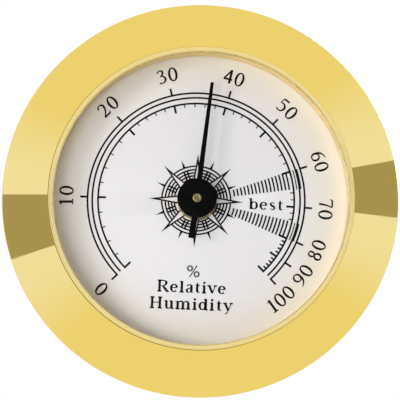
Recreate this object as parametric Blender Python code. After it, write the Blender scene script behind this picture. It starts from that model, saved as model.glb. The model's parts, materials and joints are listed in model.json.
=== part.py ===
"""Panel-mounted dial hygrometer: a flanged round gauge with a hygroscopic coil movement.

Units are metres, +Z is up and the dial faces -Y. The origin is on the case's axis, in the plane
of the flange's rear face, which rests on the panel. Lengths below are given in millimetres and
turned into metres by MM.
"""

import math

import bmesh
import bpy

MM = 0.001

# Driving dimensions, in millimetres. Depths run along Y: negative is in front of the panel.
FLANGE_RADIUS = 35.0
FLANGE_BORE = 27.35
FLANGE_EDGE = 1.25          # thickness at the outer edge
FLANGE_CREST = 3.05         # how far the inner edge stands in front of the panel
CASE_RADIUS = 29.5
CASE_WALL = 1.0
CASE_DEPTH = 12.5
SHELF_FRONT = 2.45
SHELF_REAR = 3.35
SHELF_BORE = 24.8
BEZEL_RADIUS = 27.05
BEZEL_WALL = 0.3
BEZEL_LIP_BORE = 25.95
BEZEL_CREST = 3.55
LENS_RADIUS = 26.55
LENS_FRONT = -2.75
LENS_REAR = -1.95
DIAL_FRONT = 1.8
DIAL_THICKNESS = 0.5
DIAL_RADIUS = 26.5
DIAL_OPENING = 25.83        # inner radius of the reflector ring at the dial

# The movement sits slightly off the case's axis, as it was fitted.
AXIS_X = -0.55
AXIS_Z = 0.27

POINTER_LENGTH = 20.9
POINTER_TAIL = 7.2
POINTER_HUB = 3.42
POINTER_TIP_WIDTH = 0.58
POINTER_ROOT_WIDTH = 0.95
POINTER_TAIL_WIDTH = 1.1
POINTER_FRONT = -1.35
POINTER_THICKNESS = 0.3
POINTER_ANGLE = 82.9        # degrees, anticlockwise from +X as seen from the front

PLATE_FRONT = 3.5
PLATE_REAR = 4.3
BRIDGE_FRONT = 9.2
BRIDGE_REAR = 9.9
BACK_FRONT = 11.45
BACK_REAR = 12.25
PILLAR_SPREAD = 13.5
PLATE_SCREW_SPREAD = 26.3
BACK_SCREW_SPREAD = 26.0
BACK_SCREW_ANGLES = (30.0, 150.0, 270.0)
STUD_SPREAD = 10.4
STUD_ANGLE = -30.0

COIL_TURNS = 6
COIL_INNER = 2.3
COIL_OUTER = 9.5
COIL_STRIP = 0.22
COIL_FRONT = 5.4
COIL_REAR = 8.2

VENT_COUNT = 12
VENT_INNER = 9.0
VENT_OUTER = 20.0
VENT_WIDTH = 2.2

CASE_SEGMENTS = 56
SMALL_SEGMENTS = 24
SMOOTH_ANGLE = math.radians(35)


def material(name, colour, metallic, roughness, alpha=1.0):
    """A Principled material of one plain finish."""
    made = bpy.data.materials.new(name)
    made.use_nodes = True
    shader = made.node_tree.nodes["Principled BSDF"]
    shader.inputs["Base Color"].default_value = (*colour, 1.0)
    shader.inputs["Metallic"].default_value = metallic
    shader.inputs["Roughness"].default_value = roughness
    shader.inputs["Alpha"].default_value = alpha
    made.diffuse_color = (*colour, alpha)
    return made


def clear_scene():
    for obj in list(bpy.data.objects):
        bpy.data.objects.remove(obj, do_unlink=True)


def add_object(name, mesh, finish, at=(0.0, 0.0)):
    """Put a mesh in the scene. `at` is the X, Z place of its own axis, in millimetres."""
    obj = bpy.data.objects.new(name, mesh)
    obj.location = (at[0] * MM, 0.0, at[1] * MM)
    if finish is not None and not mesh.materials:
        mesh.materials.append(finish)
    bpy.context.scene.collection.objects.link(obj)
    return obj


def finished_mesh(name, bm):
    """Close up a bmesh: weld, face outwards, shade smooth with sharp edges kept."""
    bmesh.ops.remove_doubles(bm, verts=bm.verts[:], dist=1e-7)
    bmesh.ops.recalc_face_normals(bm, faces=bm.faces[:])
    mesh = bpy.data.meshes.new(name)
    bm.to_mesh(mesh)
    bm.free()
    mesh.shade_smooth()
    mesh.set_sharp_from_angle(angle=SMOOTH_ANGLE)
    return mesh


def turned_mesh(name, profile, segments, ring=True):
    """Spin a profile of (radius, depth) points about the Y axis.

    A ring's profile is a closed loop. Otherwise the profile is an open line whose ends lie on
    the axis.
    """
    bm = bmesh.new()
    verts = [bm.verts.new((radius * MM, depth * MM, 0.0)) for radius, depth in profile]
    pairs = list(zip(verts, verts[1:]))
    if ring:
        pairs.append((verts[-1], verts[0]))
    edges = [bm.edges.new(pair) for pair in pairs]
    bmesh.ops.spin(
        bm,
        geom=verts + edges,
        cent=(0.0, 0.0, 0.0),
        axis=(0.0, 1.0, 0.0),
        angle=2.0 * math.pi,
        steps=segments,
        use_merge=True,
        use_duplicate=False,
    )
    return finished_mesh(name, bm)


def turned(name, profile, finish, segments=CASE_SEGMENTS, ring=True, at=(0.0, 0.0)):
    return add_object(name, turned_mesh(name, profile, segments, ring), finish, at)


def plate_mesh(name, outline, front, rear):
    """Extrude an outline of (x, z) points from depth `front` to depth `rear`."""
    bm = bmesh.new()
    face = bm.faces.new([bm.verts.new((x * MM, front * MM, z * MM)) for x, z in outline])
    grown = bmesh.ops.extrude_face_region(bm, geom=[face])["geom"]
    moved = [item for item in grown if isinstance(item, bmesh.types.BMVert)]
    bmesh.ops.translate(bm, verts=moved, vec=(0.0, (rear - front) * MM, 0.0))
    return finished_mesh(name, bm)


def plate(name, outline, front, rear, finish, at=(0.0, 0.0)):
    return add_object(name, plate_mesh(name, outline, front, rear), finish, at)


def polar(radius, degrees, centre=(0.0, 0.0)):
    turn = math.radians(degrees)
    return (centre[0] + radius * math.cos(turn), centre[1] + radius * math.sin(turn))


def arc(radius, start, end, steps, centre=(0.0, 0.0)):
    """Points along an arc, both ends included."""
    return [
        polar(radius, start + (end - start) * step / steps, centre)
        for step in range(steps + 1)
    ]


def circle(radius, segments=SMALL_SEGMENTS, centre=(0.0, 0.0)):
    return arc(radius, 0.0, 360.0, segments, centre)[:-1]


def slot_outline(inner, outer, width, degrees):
    """A slot with round ends, lying along a radius at the given angle."""
    half = 0.5 * width
    ends = (polar(outer - half, degrees), polar(inner + half, degrees))
    far = arc(half, degrees - 90.0, degrees + 90.0, 6, ends[0])
    near = arc(half, degrees + 90.0, degrees + 270.0, 6, ends[1])
    return far + near


def joined_cutter(name, meshes, at=(0.0, 0.0)):
    """One hidden cutter object made of several closed meshes that don't touch."""
    bm = bmesh.new()
    for mesh in meshes:
        bm.from_mesh(mesh)
    cutter = add_object(name, finished_mesh(name, bm), None, at)
    cutter.hide_render = True
    cutter.display_type = "WIRE"
    for mesh in meshes:
        bpy.data.meshes.remove(mesh)
    return cutter


def boolean(target, other, operation="DIFFERENCE"):
    step = target.modifiers.new(other.name, "BOOLEAN")
    step.operation = operation
    step.solver = "EXACT"
    step.object = other


def applied_mesh(obj, name):
    """The object's mesh with its modifiers applied, for copies to share."""
    bpy.context.view_layer.update()
    graph = bpy.context.evaluated_depsgraph_get()
    mesh = bpy.data.meshes.new_from_object(obj.evaluated_get(graph))
    mesh.name = name
    return mesh


def make_finishes():
    return {
        "brass": material("polished_brass", (0.83, 0.62, 0.17), 1.0, 0.12),
        "bezel": material("gilt_bezel", (0.84, 0.66, 0.27), 1.0, 0.18),
        "turned_brass": material("turned_brass", (0.62, 0.45, 0.19), 1.0, 0.32),
        "glass": material("clear_glass", (0.95, 0.97, 0.97), 0.0, 0.03, alpha=0.2),
        "seal": material("amber_seal", (0.55, 0.43, 0.22), 0.0, 0.5),
        "dial": material("satin_dial", (0.78, 0.76, 0.73), 0.35, 0.45),
        "pointer": material("black_enamel", (0.01, 0.009, 0.008), 0.0, 0.4),
        "steel": material("plated_steel", (0.6, 0.6, 0.6), 1.0, 0.3),
        "coil": material("coated_strip", (0.72, 0.56, 0.36), 0.6, 0.42),
        "case": material("pressed_case", (0.8, 0.62, 0.27), 1.0, 0.28),
        "back": material("satin_back", (0.62, 0.62, 0.61), 1.0, 0.4),
        "gauze": material("woven_screen", (0.33, 0.31, 0.28), 0.0, 0.85),
        "rubber": material("black_rubber", (0.02, 0.02, 0.02), 0.0, 0.7),
    }


def make_flange(finish):
    """Conical mounting flange, with a groove behind it that the case's rim sits in."""
    outer = FLANGE_RADIUS
    crest = -FLANGE_CREST
    profile = [
        (FLANGE_BORE, 0.0),
        (CASE_RADIUS - CASE_WALL - 0.35, 0.0),
        (CASE_RADIUS - CASE_WALL - 0.35, -0.95),
        (CASE_RADIUS + 0.35, -0.95),
        (CASE_RADIUS + 0.35, 0.0),
        (outer - 0.35, 0.0),
        (outer, -0.35),
        (outer, -0.7),
        (outer - 0.25, -1.08),
        (outer - 0.7, -FLANGE_EDGE),
        (FLANGE_BORE + 0.4, crest + 0.04),
        (FLANGE_BORE + 0.12, crest),
        (FLANGE_BORE, crest + 0.15),
    ]
    turned("flange_ring", profile, finish["brass"])


def make_front(finish):
    """Bezel, lens, seal and reflector ring, from the front inwards."""
    bezel = [
        (BEZEL_LIP_BORE, -2.9),
        (BEZEL_LIP_BORE, -3.1),
        (BEZEL_LIP_BORE + 0.2, -3.4),
        (BEZEL_LIP_BORE + 0.55, -BEZEL_CREST),
        (BEZEL_RADIUS - 0.2, -3.4),
        (BEZEL_RADIUS, -3.05),
        (BEZEL_RADIUS, SHELF_FRONT - 0.15),
        (BEZEL_RADIUS - BEZEL_WALL, SHELF_FRONT - 0.15),
        (BEZEL_RADIUS - BEZEL_WALL, -2.9),
    ]
    turned("lens_bezel", bezel, finish["bezel"])

    lens = [
        (0.0, LENS_FRONT),
        (LENS_RADIUS - 0.15, LENS_FRONT),
        (LENS_RADIUS, LENS_FRONT + 0.15),
        (LENS_RADIUS, LENS_REAR),
        (0.0, LENS_REAR),
    ]
    turned("lens", lens, finish["glass"], ring=False)

    seal = [
        (BEZEL_LIP_BORE, LENS_REAR + 0.1),
        (LENS_RADIUS, LENS_REAR + 0.1),
        (LENS_RADIUS, LENS_REAR + 0.45),
        (BEZEL_LIP_BORE, LENS_REAR + 0.45),
    ]
    turned("lens_seal", seal, finish["seal"])

    reflector = [
        (DIAL_OPENING + 0.12, LENS_REAR + 0.55),
        (LENS_RADIUS, LENS_REAR + 0.55),
        (LENS_RADIUS, DIAL_FRONT - 0.15),
        (DIAL_OPENING, DIAL_FRONT - 0.15),
    ]
    turned("reflector_ring", reflector, finish["bezel"])


def make_dial(finish):
    """Dial disc, with a hole for the bearing boss where the movement sits."""
    dial = plate(
        "dial_plate",
        circle(DIAL_RADIUS, CASE_SEGMENTS),
        DIAL_FRONT,
        DIAL_FRONT + DIAL_THICKNESS,
        finish["dial"],
    )
    hole = plate_mesh("dial_hole_mesh", circle(2.5), DIAL_FRONT - 1.0, DIAL_FRONT + 1.5)
    boolean(dial, joined_cutter("dial_hole", [hole], at=(AXIS_X, AXIS_Z)))


def make_case(finish):
    """Drum that carries everything, with an inner shelf and three lugs for the back's screws."""
    radius = CASE_RADIUS
    inner = CASE_RADIUS - CASE_WALL
    rim = inner - 0.05
    profile = [
        (rim, -0.6),
        (radius, -0.6),
        (radius, 5.0),
        (radius - 0.45, 5.3),
        (radius - 0.45, 8.1),
        (radius, 8.4),
        (radius, CASE_DEPTH - 0.4),
        (radius - 0.4, CASE_DEPTH),
        (inner, CASE_DEPTH),
        (inner, SHELF_REAR),
        (SHELF_BORE, SHELF_REAR),
        (SHELF_BORE, SHELF_FRONT),
        (BEZEL_RADIUS + 0.35, SHELF_FRONT),
        (BEZEL_RADIUS + 0.35, 0.3),
        (rim, 0.3),
    ]
    case = turned("case_body", profile, finish["case"])

    lugs = []
    lug_holes = []
    for degrees in BACK_SCREW_ANGLES:
        centre = polar(BACK_SCREW_SPREAD, degrees)
        lugs.append(plate_mesh("lug", circle(2.6, 16, centre), 7.4, BACK_FRONT - 0.2))
        lug_holes.append(plate_mesh("lug_hole", circle(0.8, 12, centre), 8.3, BACK_FRONT + 0.5))
    plate_holes = [
        plate_mesh("plate_hole", circle(0.8, 12, (side * PLATE_SCREW_SPREAD, 0.0)), 1.5, 4.0)
        for side in (-1, 1)
    ]
    boolean(case, joined_cutter("lug_bodies", lugs), "UNION")
    boolean(case, joined_cutter("case_screw_holes", lug_holes + plate_holes))


def make_grip_ring(finish):
    """Rubber ring in the case's groove, which holds the gauge in its panel hole."""
    inner = CASE_RADIUS - 0.3
    profile = [
        (inner, 5.65),
        (inner + 0.35, 5.5),
        (inner + 0.75, 5.9),
        (inner + 0.9, 6.7),
        (inner + 0.75, 7.5),
        (inner + 0.35, 7.9),
        (inner, 7.75),
    ]
    turned("grip_ring", profile, finish["rubber"])


def screw_mesh(name, head_front, head_radius, head_height, shank_radius, tip):
    """Slotted pan-head screw whose head is to the rear and whose shank runs forwards to `tip`."""
    top = head_front + head_height
    profile = [
        (0.0, tip),
        (shank_radius * 0.7, tip),
        (shank_radius, tip + 0.3),
        (shank_radius, head_front),
        (head_radius, head_front),
        (head_radius, top - 0.3 * head_height),
        (head_radius * 0.8, top),
        (0.0, top),
    ]
    blank = add_object(name + "_blank", turned_mesh(name, profile, 16, ring=False), None)
    half = 0.14 * head_radius + 0.06
    long = 1.2 * head_radius
    groove = [(-long, -half), (long, -half), (long, half), (-long, half)]
    cutter = add_object(
        name + "_slot",
        plate_mesh(name + "_slot", groove, top - 0.4 * head_height, top + 1.0),
        None,
    )
    boolean(blank, cutter)
    mesh = applied_mesh(blank, name)
    bpy.data.objects.remove(blank)
    bpy.data.objects.remove(cutter)
    return mesh


def make_screws(finish):
    back = screw_mesh("back_screw", BACK_REAR + 0.05, 1.8, 0.8, 0.65, 8.7)
    for index, degrees in enumerate(BACK_SCREW_ANGLES):
        add_object(f"back_screw_{index + 1}", back, finish["steel"], polar(BACK_SCREW_SPREAD, degrees))

    small = screw_mesh("plate_screw", PLATE_REAR + 0.05, 1.3, 0.7, 0.6, 2.6)
    for index, side in enumerate((-1, 1)):
        place = (side * PLATE_SCREW_SPREAD, 0.0)
        add_object(f"plate_screw_{index + 1}", small, finish["steel"], place)

    bridge = screw_mesh("bridge_screw", BRIDGE_REAR + 0.05, 1.3, 0.65, 0.6, 7.3)
    for index, side in enumerate((-1, 1)):
        place = (AXIS_X, AXIS_Z + side * PILLAR_SPREAD)
        add_object(f"bridge_screw_{index + 1}", bridge, finish["steel"], place)


def ear_plate_outline(body_radius, ear_reach, ear_half, shift):
    """A disc with a round-ended ear to each side; `shift` is the disc centre's offset."""
    outline = []
    for side in (0.0, 180.0):
        sign = 1.0 if side == 0.0 else -1.0
        end = (sign * (ear_reach - ear_half), 0.0)
        outline += arc(ear_half, side - 90.0, side + 90.0, 8, end)
        root = math.degrees(math.asin(ear_half / body_radius)) + 8.0
        outline += arc(body_radius, side + root, side + 180.0 - root, 12, shift)
    return outline


def make_movement_frame(finish):
    """Plate behind the dial, two pillars and a rear bridge."""
    outline = ear_plate_outline(17.0, 27.9, 3.2, (AXIS_X, AXIS_Z))
    movement = plate("movement_plate", outline, PLATE_FRONT, PLATE_REAR, finish["steel"])
    holes = [
        plate_mesh("centre_hole", circle(2.5, centre=(AXIS_X, AXIS_Z)), 2.5, 5.5),
    ]
    for side in (-1, 1):
        place = (side * PLATE_SCREW_SPREAD, 0.0)
        holes.append(plate_mesh("ear_hole", circle(0.8, 12, place), 2.5, 5.5))
    boolean(movement, joined_cutter("movement_plate_holes", holes))

    blank = add_object("pillar_blank", plate_mesh("pillar", circle(1.6, 12), 4.45, 9.05), None)
    drill = add_object("pillar_drill", plate_mesh("pillar_drill", circle(0.8, 12), 6.6, 10.0), None)
    boolean(blank, drill)
    pillar = applied_mesh(blank, "pillar")
    bpy.data.objects.remove(blank)
    bpy.data.objects.remove(drill)
    for index, side in enumerate((-1, 1)):
        place = (AXIS_X, AXIS_Z + side * PILLAR_SPREAD)
        add_object(f"pillar_{index + 1}", pillar, finish["turned_brass"], place)

    half = 4.4
    reach = PILLAR_SPREAD
    outline = arc(half, 0.0, 180.0, 12, (0.0, reach)) + arc(half, 180.0, 360.0, 12, (0.0, -reach))
    bridge = plate(
        "rear_bridge",
        outline,
        BRIDGE_FRONT,
        BRIDGE_REAR,
        finish["steel"],
        at=(AXIS_X, AXIS_Z),
    )
    holes = [plate_mesh("hub_hole", circle(3.08, 32), 8.5, 10.5)]
    for side in (-1, 1):
        holes.append(plate_mesh("screw_hole", circle(0.8, 12, (0.0, side * reach)), 8.5, 10.5))
    boolean(bridge, joined_cutter("bridge_holes", holes, at=(AXIS_X, AXIS_Z)))


def make_bearings(finish):
    """Front bearing boss, which shows round the pointer's hub, and the bush in the adjuster."""
    front = [
        (0.68, -0.75),
        (3.2, -0.75),
        (3.36, -0.6),
        (3.55, DIAL_FRONT - 0.15),
        (2.3, DIAL_FRONT - 0.15),
        (2.3, PLATE_REAR + 0.3),
        (0.68, PLATE_REAR + 0.3),
    ]
    turned("front_bearing", front, finish["turned_brass"], 32, at=(AXIS_X, AXIS_Z))

    rear = [(0.48, 8.75), (1.4, 8.75), (1.4, 9.85), (0.48, 9.85)]
    turned("rear_bearing", rear, finish["turned_brass"], SMALL_SEGMENTS, at=(AXIS_X, AXIS_Z))


def pointer_outline():
    """Blade along +X, round hub and counterweight tail, as one outline."""
    root = math.degrees(math.asin(0.5 * POINTER_ROOT_WIDTH / POINTER_HUB))
    tail = math.degrees(math.asin(0.5 * POINTER_TAIL_WIDTH / POINTER_HUB))
    outline = [(POINTER_LENGTH, 0.5 * POINTER_TIP_WIDTH)]
    outline += arc(POINTER_HUB, root, 180.0 - tail, 18)
    outline += [(-POINTER_TAIL, 0.5 * POINTER_TAIL_WIDTH), (-POINTER_TAIL, -0.5 * POINTER_TAIL_WIDTH)]
    outline += arc(POINTER_HUB, 180.0 + tail, 360.0 - root, 18)
    outline.append((POINTER_LENGTH, -0.5 * POINTER_TIP_WIDTH))
    return outline


def make_pointer(finish):
    """Pointer, its bush and the arbor: everything that turns with the coil's inner end."""
    rear = POINTER_FRONT + POINTER_THICKNESS
    pointer = plate(
        "pointer", pointer_outline(), POINTER_FRONT, rear, finish["pointer"], at=(AXIS_X, AXIS_Z)
    )
    pointer.rotation_euler = (0.0, -math.radians(POINTER_ANGLE), 0.0)
    hole = plate_mesh("pointer_hole_mesh", circle(0.68, 16), POINTER_FRONT - 1.0, rear + 1.0)
    boolean(pointer, joined_cutter("pointer_hole", [hole], at=(AXIS_X, AXIS_Z)))

    bush = [
        (0.38, POINTER_FRONT - 0.27),
        (0.62, POINTER_FRONT - 0.27),
        (0.78, POINTER_FRONT - 0.18),
        (0.78, POINTER_FRONT - 0.06),
        (0.58, POINTER_FRONT - 0.06),
        (0.58, rear + 0.06),
        (0.38, rear + 0.06),
    ]
    turned("pointer_bush", bush, finish["turned_brass"], SMALL_SEGMENTS, at=(AXIS_X, AXIS_Z))

    arbor = [
        (0.0, POINTER_FRONT - 0.3),
        (0.2, POINTER_FRONT - 0.26),
        (0.28, POINTER_FRONT - 0.15),
        (0.28, rear + 0.1),
        (0.6, rear + 0.16),
        (0.6, 8.45),
        (0.4, 8.6),
        (0.4, 9.7),
        (0.25, 9.85),
        (0.0, 9.85),
    ]
    turned("arbor", arbor, finish["steel"], SMALL_SEGMENTS, ring=False, at=(AXIS_X, AXIS_Z))

    collet = [
        (0.7, COIL_FRONT - 0.3),
        (1.6, COIL_FRONT - 0.3),
        (1.9, COIL_FRONT),
        (1.9, COIL_REAR),
        (0.7, COIL_REAR),
    ]
    turned("coil_collet", collet, finish["turned_brass"], SMALL_SEGMENTS, at=(AXIS_X, AXIS_Z))


def make_coil(finish):
    """Flat spiral of moisture-sensitive strip, from the collet out to the stud."""
    steps_per_turn = 26
    steps = COIL_TURNS * steps_per_turn
    bm = bmesh.new()
    rows = []
    for step in range(steps + 1):
        share = step / steps
        centre = COIL_INNER + (COIL_OUTER - COIL_INNER) * share
        degrees = STUD_ANGLE - 360.0 * COIL_TURNS * (1.0 - share)
        near = polar(centre - 0.5 * COIL_STRIP, degrees)
        far = polar(centre + 0.5 * COIL_STRIP, degrees)
        corners = [(near, COIL_FRONT), (far, COIL_FRONT), (far, COIL_REAR), (near, COIL_REAR)]
        rows.append([bm.verts.new((x * MM, y * MM, z * MM)) for (x, z), y in corners])
    for row, following in zip(rows, rows[1:]):
        for side in range(4):
            after = (side + 1) % 4
            bm.faces.new((row[side], row[after], following[after], following[side]))
    bm.faces.new(rows[0])
    bm.faces.new(rows[-1])
    add_object("hygro_coil", finished_mesh("hygro_coil", bm), finish["coil"], (AXIS_X, AXIS_Z))


def make_adjuster(finish):
    """Calibration adjuster: a slotted hub in the bridge, with an arm that holds the coil's end."""
    rear = BACK_REAR - 0.2
    profile = [
        (0.0, 10.0),
        (1.5, 10.0),
        (1.5, 8.55),
        (3.9, 8.55),
        (3.9, 9.0),
        (3.0, 9.0),
        (3.0, rear - 0.25),
        (2.75, rear),
        (0.0, rear),
    ]
    adjuster = turned("adjuster", profile, finish["turned_brass"], 32, ring=False, at=(AXIS_X, AXIS_Z))

    end = polar(STUD_SPREAD, STUD_ANGLE)
    start = polar(2.4, STUD_ANGLE)
    arm = arc(1.4, STUD_ANGLE - 90.0, STUD_ANGLE + 90.0, 8, end)
    arm += arc(1.4, STUD_ANGLE + 90.0, STUD_ANGLE - 90.0, 1, start)
    arm_body = joined_cutter(
        "adjuster_arm", [plate_mesh("arm", arm, 8.6, 8.95)], at=(AXIS_X, AXIS_Z)
    )
    boolean(adjuster, arm_body, "UNION")

    groove = [(-3.6, -0.45), (3.6, -0.45), (3.6, 0.45), (-3.6, 0.45)]
    cuts = [
        plate_mesh("driver_slot", groove, BACK_REAR - 1.0, BACK_REAR + 1.0),
        plate_mesh("stud_hole", circle(0.75, 16, end), 8.0, 9.1),
        plate_mesh("bearing_bore", circle(1.5, SMALL_SEGMENTS), 8.0, 9.9),
    ]
    boolean(adjuster, joined_cutter("adjuster_cuts", cuts, at=(AXIS_X, AXIS_Z)))

    stud = [(0.0, 5.0), (0.62, 5.0), (0.62, 8.85), (0.45, 9.0), (0.0, 9.0)]
    place = (AXIS_X + end[0], AXIS_Z + end[1])
    turned("coil_stud", stud, finish["steel"], 16, ring=False, at=place)

    washer = [(3.12, 10.0), (4.6, 10.08), (4.6, 10.28), (3.12, 10.2)]
    turned("adjuster_washer", washer, finish["steel"], 32, at=(AXIS_X, AXIS_Z))


def make_back(finish):
    """Back plate with its ring of vent slots, and the woven screen in front of them."""
    back = plate(
        "back_plate",
        circle(CASE_RADIUS - CASE_WALL - 0.3, CASE_SEGMENTS),
        BACK_FRONT,
        BACK_REAR,
        finish["back"],
    )
    cuts = []
    for index in range(VENT_COUNT):
        degrees = 360.0 * (index + 0.5) / VENT_COUNT
        outline = slot_outline(VENT_INNER, VENT_OUTER, VENT_WIDTH, degrees)
        cuts.append(plate_mesh("vent", outline, BACK_FRONT - 1.0, BACK_REAR + 1.0))
    for degrees in BACK_SCREW_ANGLES:
        hole = circle(0.85, 12, polar(BACK_SCREW_SPREAD, degrees))
        cuts.append(plate_mesh("screw_hole", hole, BACK_FRONT - 1.0, BACK_REAR + 1.0))
    hub = circle(3.3, 32, (AXIS_X, AXIS_Z))
    cuts.append(plate_mesh("hub_hole", hub, BACK_FRONT - 1.0, BACK_REAR + 1.0))
    boolean(back, joined_cutter("back_cuts", cuts))

    screen = [(4.9, 10.85), (21.5, 10.85), (21.5, 11.15), (4.9, 11.15)]
    turned("vent_screen", screen, finish["gauze"], 48, at=(AXIS_X, AXIS_Z))


def main():
    clear_scene()
    finish = make_finishes()
    make_flange(finish)
    make_front(finish)
    make_dial(finish)
    make_case(finish)
    make_grip_ring(finish)
    make_movement_frame(finish)
    make_bearings(finish)
    make_pointer(finish)
    make_coil(finish)
    make_adjuster(finish)
    make_back(finish)
    make_screws(finish)


main()
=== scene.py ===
"""Looks of the dial hygrometer: fine surfaces, printed dial, finishes, light and camera.

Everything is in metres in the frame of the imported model: the dial faces -Y, +Z is up, and the
origin is on the case's axis in the plane of the flange's rear face.
"""

import json
import math

import bmesh
import bpy
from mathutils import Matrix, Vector


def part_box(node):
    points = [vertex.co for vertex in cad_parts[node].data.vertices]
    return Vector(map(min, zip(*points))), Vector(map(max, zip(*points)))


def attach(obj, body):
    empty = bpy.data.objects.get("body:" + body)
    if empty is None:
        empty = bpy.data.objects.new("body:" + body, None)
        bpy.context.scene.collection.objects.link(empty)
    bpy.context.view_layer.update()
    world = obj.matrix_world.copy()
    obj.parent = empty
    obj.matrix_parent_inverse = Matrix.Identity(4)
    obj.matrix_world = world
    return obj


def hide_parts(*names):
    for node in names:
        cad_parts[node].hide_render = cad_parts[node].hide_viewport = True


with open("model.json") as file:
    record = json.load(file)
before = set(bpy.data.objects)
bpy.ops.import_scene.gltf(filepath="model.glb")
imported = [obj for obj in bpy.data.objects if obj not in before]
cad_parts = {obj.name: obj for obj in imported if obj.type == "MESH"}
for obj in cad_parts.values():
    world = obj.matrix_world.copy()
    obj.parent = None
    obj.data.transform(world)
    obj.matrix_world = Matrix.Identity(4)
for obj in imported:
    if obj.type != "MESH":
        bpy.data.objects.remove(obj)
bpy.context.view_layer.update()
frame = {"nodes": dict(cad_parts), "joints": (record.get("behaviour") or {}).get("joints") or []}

MM = 0.001
RING_SEGMENTS = 256
SMALL_SEGMENTS = 96


# ---- places taken from the frame

def joint_place(name):
    """The (x, z) place of a joint's axis."""
    place = next(j["pos_m"] for j in frame["joints"] if j["name"] == name)
    return place[0], place[2]


def front_of(node):
    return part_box(node)[0].y


def rear_of(node):
    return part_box(node)[1].y


def radius_of(node):
    low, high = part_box(node)
    return 0.5 * (high.x - low.x)


CASE_AXIS = (0.0, 0.0)
MOVEMENT_AXIS = joint_place("humidity")
DIAL_FACE = front_of("dial_plate")


# ---- mesh helpers

def rounded(corners, closed=True, steps=5):
    """Turn (radius, depth, fillet) corners into a profile with each corner rounded off."""
    profile = []
    last = len(corners) - 1
    for index, (radius, depth, fillet) in enumerate(corners):
        here = Vector((radius, depth))
        if fillet == 0.0 or (not closed and index in (0, last)):
            profile.append((radius, depth))
            continue
        before = Vector(corners[index - 1][:2]) - here
        after = Vector(corners[(index + 1) % len(corners)][:2]) - here
        half = 0.5 * before.angle(after)
        reach = min(fillet / math.tan(half), 0.48 * before.length, 0.48 * after.length)
        middle = (before.normalized() + after.normalized()).normalized()
        centre = here + middle * (reach / math.cos(half))
        start = here + before.normalized() * reach - centre
        end = here + after.normalized() * reach - centre
        sweep = start.angle(end)
        for step in range(steps + 1):
            share = step / steps
            spoke = math.sin((1.0 - share) * sweep) * start + math.sin(share * sweep) * end
            profile.append(tuple(centre + spoke / math.sin(sweep)))
    return profile


def tidy_mesh(name, bm, smooth_angle=32.0):
    """Weld, face outwards and shade smooth, with edges over the angle kept sharp."""
    bmesh.ops.remove_doubles(bm, verts=bm.verts[:], dist=1e-8)
    bmesh.ops.recalc_face_normals(bm, faces=bm.faces[:])
    mesh = bpy.data.meshes.new(name)
    bm.to_mesh(mesh)
    bm.free()
    mesh.shade_smooth()
    mesh.set_sharp_from_angle(angle=math.radians(smooth_angle))
    return mesh


def join_loops(bm, near, far):
    """Faces between two closed loops of the same number of vertices."""
    for index in range(len(near)):
        after = (index + 1) % len(near)
        bm.faces.new((near[index], near[after], far[after], far[index]))


def loft(bm, loops, closed=False):
    """A solid through loops of vertices, with caps on its ends unless it closes on itself."""
    if closed:
        join_loops(bm, loops[-1], loops[0])
    else:
        bm.faces.new(loops[0])
        bm.faces.new(loops[-1][::-1])
    for near, far in zip(loops, loops[1:]):
        join_loops(bm, near, far)


def linked(name, data):
    """A new object in the scene."""
    made = bpy.data.objects.new(name, data)
    bpy.context.scene.collection.objects.link(made)
    return made


def baked(holder, *helpers):
    """The mesh of an object with its modifiers applied; the object and its helpers go."""
    bpy.context.view_layer.update()
    graph = bpy.context.evaluated_depsgraph_get()
    made = bpy.data.meshes.new_from_object(holder.evaluated_get(graph))
    for spent in (*helpers, holder):
        bpy.data.objects.remove(spent)
    bm = bmesh.new()
    bm.from_mesh(made)
    bpy.data.meshes.remove(made)
    return bm


def add_piece(name, mesh, body, finish, stands_for=()):
    """Link a mesh as a piece that rides on a body and may stand for some CAD nodes."""
    piece = linked(name, mesh)
    mesh.materials.clear()
    mesh.materials.append(finish)
    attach(piece, body)
    if stands_for:
        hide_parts(*stands_for)
    return piece


def lathe_mesh(name, profile, segments=RING_SEGMENTS, centre=CASE_AXIS, closed=True):
    """Turn a profile of (radius, depth) points about a line along Y through `centre`."""
    bm = bmesh.new()
    rings = []
    for step in range(segments):
        turn = 2.0 * math.pi * step / segments
        across, up = math.cos(turn), math.sin(turn)
        rings.append([
            bm.verts.new((centre[0] + radius * across, depth, centre[1] + radius * up))
            for radius, depth in profile
        ])
    spans = len(profile) if closed else len(profile) - 1
    for step, ring in enumerate(rings):
        following = rings[(step + 1) % segments]
        for span in range(spans):
            after = (span + 1) % len(profile)
            bm.faces.new((ring[span], ring[after], following[after], following[span]))
    return tidy_mesh(name, bm)


def even_normals(piece):
    """Keep long flat stretches flat next to their fine fillets."""
    step = piece.modifiers.new("even_normals", "WEIGHTED_NORMAL")
    step.keep_sharp = True
    step.weight = 100


def lathed(name, profile, body, finish, slot, stands_for=(), **options):
    piece = add_piece(name, lathe_mesh(name, profile, **options), body, finish, stands_for)
    even_normals(piece)
    return piece


def arc(radius, start, end, steps, centre=(0.0, 0.0)):
    """Points along an arc, both ends included, with angles in degrees."""
    points = []
    for step in range(steps + 1):
        turn = math.radians(start + (end - start) * step / steps)
        points.append((centre[0] + radius * math.cos(turn), centre[1] + radius * math.sin(turn)))
    return points


def circle(radius, segments=SMALL_SEGMENTS, centre=(0.0, 0.0)):
    return arc(radius, 0.0, 360.0, segments, centre)[:-1]


def turned(point, degrees, centre=(0.0, 0.0)):
    """A point turned anticlockwise about the origin and then moved by `centre`."""
    cos, sin = math.cos(math.radians(degrees)), math.sin(math.radians(degrees))
    across, up = point
    return centre[0] + across * cos - up * sin, centre[1] + across * sin + up * cos


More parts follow.
